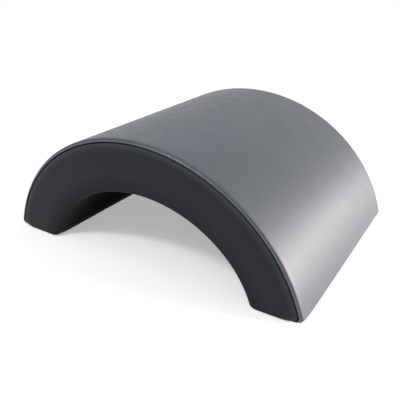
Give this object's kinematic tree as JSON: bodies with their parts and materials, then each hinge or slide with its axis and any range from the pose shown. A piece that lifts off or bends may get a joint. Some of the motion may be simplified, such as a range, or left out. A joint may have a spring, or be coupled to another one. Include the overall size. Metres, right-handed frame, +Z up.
{
  "type": "spine corrector arch",
  "caption": "Upholstered arch for stretching the back and spine: a padded vinyl cover over a plywood arch frame, open underneath, standing on two flat feet.",
  "frame": {"origin": "on the floor, midway between the outer sides of the two feet and midway from front to back", "axes": "+Z up, +X from the thicker foot to the thinner foot, +Y from the front side to the back side"},
  "size_m": [0.5972, 0.4306, 0.2262],
  "materials": {
    "vinyl_top": "satin",
    "vinyl_side": "matte",
    "thread": "matte",
    "foam": "matte",
    "plywood": "matte",
    "pine": "matte",
    "rubber": "matte",
    "zinc_steel": "satin"
  },
  "bodies": {
    "root": {"cover_top": "vinyl_top", "cover_side_front": "vinyl_side", "cover_side_back": "vinyl_side", "cover_underside": "vinyl_side", "topstitch_front": "thread", "topstitch_back": "thread", "foam_top": "foam", "foam_side_front": "foam", "foam_side_back": "foam", "deck_outer": "plywood", "lining_inner": "plywood", "rib_front": "plywood", "rib_middle": "plywood", "rib_back": "plywood", "foot_board_left": "plywood", "foot_board_right": "plywood", "batten_1": "pine", "batten_2": "pine", "batten_3": "pine", "batten_4": "pine", "batten_5": "pine", "base_pad_left": "rubber", "base_pad_right": "rubber", "screw_batten_1": "zinc_steel", "screw_batten_2": "zinc_steel", "screw_batten_3": "zinc_steel", "screw_batten_4": "zinc_steel", "screw_batten_5": "zinc_steel", "screw_batten_6": "zinc_steel", "screw_batten_7": "zinc_steel", "screw_batten_8": "zinc_steel", "screw_batten_9": "zinc_steel", "screw_batten_10": "zinc_steel", "screw_batten_11": "zinc_steel", "screw_batten_12": "zinc_steel", "screw_batten_13": "zinc_steel", "screw_batten_14": "zinc_steel", "screw_batten_15": "zinc_steel", "screw_foot_1": "zinc_steel", "screw_foot_2": "zinc_steel", "screw_foot_3": "zinc_steel", "screw_foot_4": "zinc_steel", "screw_foot_5": "zinc_steel", "screw_foot_6": "zinc_steel", "screw_foot_7": "zinc_steel", "screw_foot_8": "zinc_steel", "screw_foot_9": "zinc_steel", "screw_foot_10": "zinc_steel", "screw_foot_11": "zinc_steel", "screw_foot_12": "zinc_steel"}
  },
  "joints": []
}
